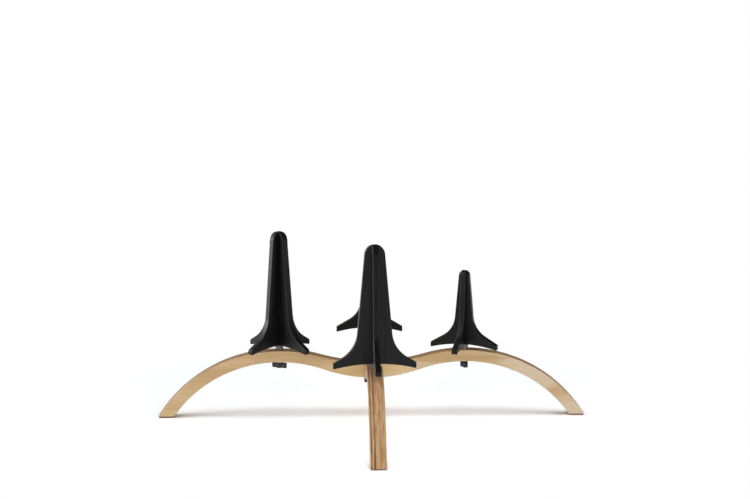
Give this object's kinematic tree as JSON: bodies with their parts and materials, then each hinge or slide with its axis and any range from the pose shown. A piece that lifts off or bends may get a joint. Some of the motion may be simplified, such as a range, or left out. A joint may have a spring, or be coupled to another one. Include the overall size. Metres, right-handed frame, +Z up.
{
  "type": "brass instrument stand",
  "caption": "Low wooden stand on four arched legs, with black cross-shaped pegs on its crests that go up into the bells of brass instruments standing on them.",
  "frame": {"origin": "on the floor, under the middle of the crossing of the two boards", "axes": "+Z up, -Y towards the front, +X to the right; the boards lie along X and Y"},
  "size_m": [0.7604, 0.7604, 0.3335],
  "materials": {
    "plywood": "hardwood plywood, clear satin lacquer, plies showing on the curved edges",
    "black_board": "matte black",
    "black_plastic": "moulded, matte",
    "grey_plastic": "turned, matte",
    "steel": "zinc plated",
    "brass": "machined",
    "rubber": "matte"
  },
  "bodies": {
    "base": {"side_board": "plywood", "front_back_board": "plywood", "front_foot_pad": "rubber", "right_foot_pad": "rubber", "back_foot_pad": "rubber", "left_foot_pad": "rubber", "centre_bolt": "steel"},
    "centre_washer_body": {"centre_washer": "steel"},
    "centre_knob_body": {"centre_wing_knob": "black_plastic", "centre_knob_insert": "brass"},
    "front_peg": {"front_peg_main_plate": "black_board", "front_peg_cross_plate": "black_board", "front_peg_stud": "steel", "front_peg_spacer": "grey_plastic"},
    "front_washer_body": {"front_washer": "steel"},
    "front_knob_body": {"front_wing_knob": "black_plastic", "front_knob_insert": "brass"},
    "right_peg": {"right_peg_main_plate": "black_board", "right_peg_cross_plate": "black_board", "right_peg_stud": "steel", "right_peg_spacer": "grey_plastic"},
    "right_washer_body": {"right_washer": "steel"},
    "right_knob_body": {"right_wing_knob": "black_plastic", "right_knob_insert": "brass"},
    "back_peg": {"back_peg_main_plate": "black_board", "back_peg_cross_plate": "black_board", "back_peg_stud": "steel", "back_peg_spacer": "grey_plastic"},
    "back_washer_body": {"back_washer": "steel"},
    "back_knob_body": {"back_wing_knob": "black_plastic", "back_knob_insert": "brass"},
    "left_peg": {"left_peg_main_plate": "black_board", "left_peg_cross_plate": "black_board", "left_peg_stud": "steel", "left_peg_spacer": "grey_plastic"},
    "left_washer_body": {"left_washer": "steel"},
    "left_knob_body": {"left_wing_knob": "black_plastic", "left_knob_insert": "brass"}
  },
  "joints": [
    {"name": "front_peg_swivel", "type": "hinge", "parent": "base", "child": "front_peg", "pos_m": [0, -0.165, 0.1203], "axis": [0, 0, 1], "continuous": true},
    {"name": "front_knob_travel", "type": "slide", "parent": "front_peg", "child": "front_washer_body", "axis": [0, 0, 1], "range_m": [-0.005, 0]},
    {"name": "front_knob_turn", "type": "hinge", "parent": "front_washer_body", "child": "front_knob_body", "pos_m": [0, -0.165, 0.098], "axis": [0, 0, 1], "range_deg": [-1800, 0]},
    {"name": "right_peg_swivel", "type": "hinge", "parent": "base", "child": "right_peg", "pos_m": [0.165, 0, 0.1203], "axis": [0, 0, 1], "continuous": true},
    {"name": "right_knob_travel", "type": "slide", "parent": "right_peg", "child": "right_washer_body", "axis": [0, 0, 1], "range_m": [-0.005, 0]},
    {"name": "right_knob_turn", "type": "hinge", "parent": "right_washer_body", "child": "right_knob_body", "pos_m": [0.165, 0, 0.098], "axis": [0, 0, 1], "range_deg": [-1800, 0]},
    {"name": "back_peg_swivel", "type": "hinge", "parent": "base", "child": "back_peg", "pos_m": [0, 0.165, 0.1203], "axis": [0, 0, 1], "continuous": true},
    {"name": "back_knob_travel", "type": "slide", "parent": "back_peg", "child": "back_washer_body", "axis": [0, 0, 1], "range_m": [-0.005, 0]},
    {"name": "back_knob_turn", "type": "hinge", "parent": "back_washer_body", "child": "back_knob_body", "pos_m": [0, 0.165, 0.098], "axis": [0, 0, 1], "range_deg": [-1800, 0]},
    {"name": "left_peg_swivel", "type": "hinge", "parent": "base", "child": "left_peg", "pos_m": [-0.165, 0, 0.1203], "axis": [0, 0, 1], "continuous": true},
    {"name": "left_knob_travel", "type": "slide", "parent": "left_peg", "child": "left_washer_body", "axis": [0, 0, 1], "range_m": [-0.005, 0]},
    {"name": "left_knob_turn", "type": "hinge", "parent": "left_washer_body", "child": "left_knob_body", "pos_m": [-0.165, 0, 0.098], "axis": [0, 0, 1], "range_deg": [-1800, 0]},
    {"name": "centre_knob_travel", "type": "slide", "parent": "base", "child": "centre_washer_body", "axis": [0, 0, 1], "range_m": [-0.005, 0]},
    {"name": "centre_knob_turn", "type": "hinge", "parent": "centre_washer_body", "child": "centre_knob_body", "pos_m": [0, 0, 0.069], "axis": [0, 0, 1], "range_deg": [-1800, 0]}
  ],
  "couplings": [
    {"joint": "front_knob_turn", "follows": "front_knob_travel", "rad_per_m": 6283.2},
    {"joint": "right_knob_turn", "follows": "right_knob_travel", "rad_per_m": 6283.2},
    {"joint": "back_knob_turn", "follows": "back_knob_travel", "rad_per_m": 6283.2},
    {"joint": "left_knob_turn", "follows": "left_knob_travel", "rad_per_m": 6283.2},
    {"joint": "centre_knob_turn", "follows": "centre_knob_travel", "rad_per_m": 6283.2}
  ]
}
